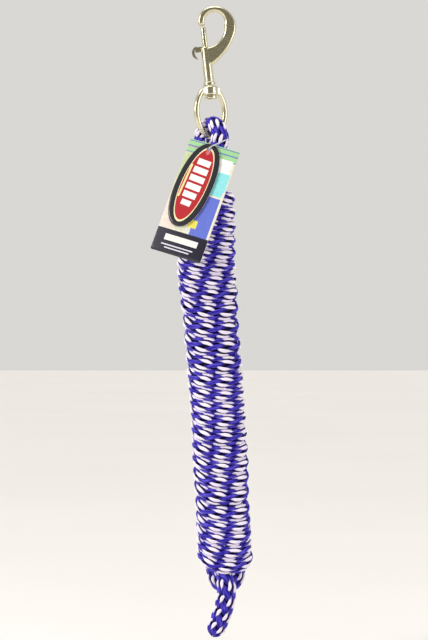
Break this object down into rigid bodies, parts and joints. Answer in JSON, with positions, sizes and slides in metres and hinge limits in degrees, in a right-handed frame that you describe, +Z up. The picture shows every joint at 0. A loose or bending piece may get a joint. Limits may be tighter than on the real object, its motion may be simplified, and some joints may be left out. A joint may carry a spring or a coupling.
{
  "type": "horse lead rope",
  "caption": "Braided horse lead rope wound in a hank, with a swivel bolt snap spliced to its end and two swing tags.",
  "frame": {"origin": "inside of the hook's crown, where the snap hangs on its hook, nail or ring", "axes": "+Z up along the hanging rope, +Y away from the tags' front side, +X to the right seen from the tags' side"},
  "size_m": [0.0811, 0.0541, 0.5037],
  "materials": {
    "nickel": "satin",
    "nickel_bolt": "polished",
    "spring_steel": "satin",
    "rope": "matte",
    "clear_plastic": "gloss",
    "printed_card": "satin",
    "oval_card": "satin"
  },
  "bodies": {
    "snap": {"snap_body": "nickel", "swivel_rivet": "nickel", "bolt_spring": "spring_steel"},
    "bolt": {"bolt": "nickel_bolt", "thumb_stud": "nickel"},
    "eye": {"swivel_eye": "nickel"},
    "rope": {"rope_eye_loop": "rope", "rope_neck": "rope", "rope_hank": "rope", "rope_bight": "rope", "rope_tail": "rope", "tag_fastener": "clear_plastic"},
    "card": {"card_tag": "printed_card"},
    "oval": {"oval_tag": "oval_card"}
  },
  "joints": [
    {"name": "bolt_slide", "type": "slide", "parent": "snap", "child": "bolt", "axis": [0.1115, 0, -0.9938], "range_m": [0, 0.011], "stiffness_N_per_m": 250, "springref_m": -0.008, "deforming": ["bolt_spring"]},
    {"name": "eye_swivel", "type": "hinge", "parent": "snap", "child": "eye", "pos_m": [-0.00346, 0, -0.0585], "axis": [-0.1115, 0, 0.9938], "continuous": true},
    {"name": "rope_swing", "type": "hinge", "parent": "eye", "child": "rope", "pos_m": [-0.00196, 0, -0.09856], "axis": [0.8188, 0.5736, 0.0229], "range_deg": [-65, 65]},
    {"name": "card_swing", "type": "hinge", "parent": "rope", "child": "card", "pos_m": [-0.00301, -0.01921, -0.1116], "axis": [-0.2457, -0.9457, 0.2129], "range_deg": [-25, 25]},
    {"name": "oval_swing", "type": "hinge", "parent": "rope", "child": "oval", "pos_m": [-0.00301, -0.01921, -0.1116], "axis": [-0.2457, -0.9457, 0.2129], "range_deg": [-25, 25]}
  ]
}
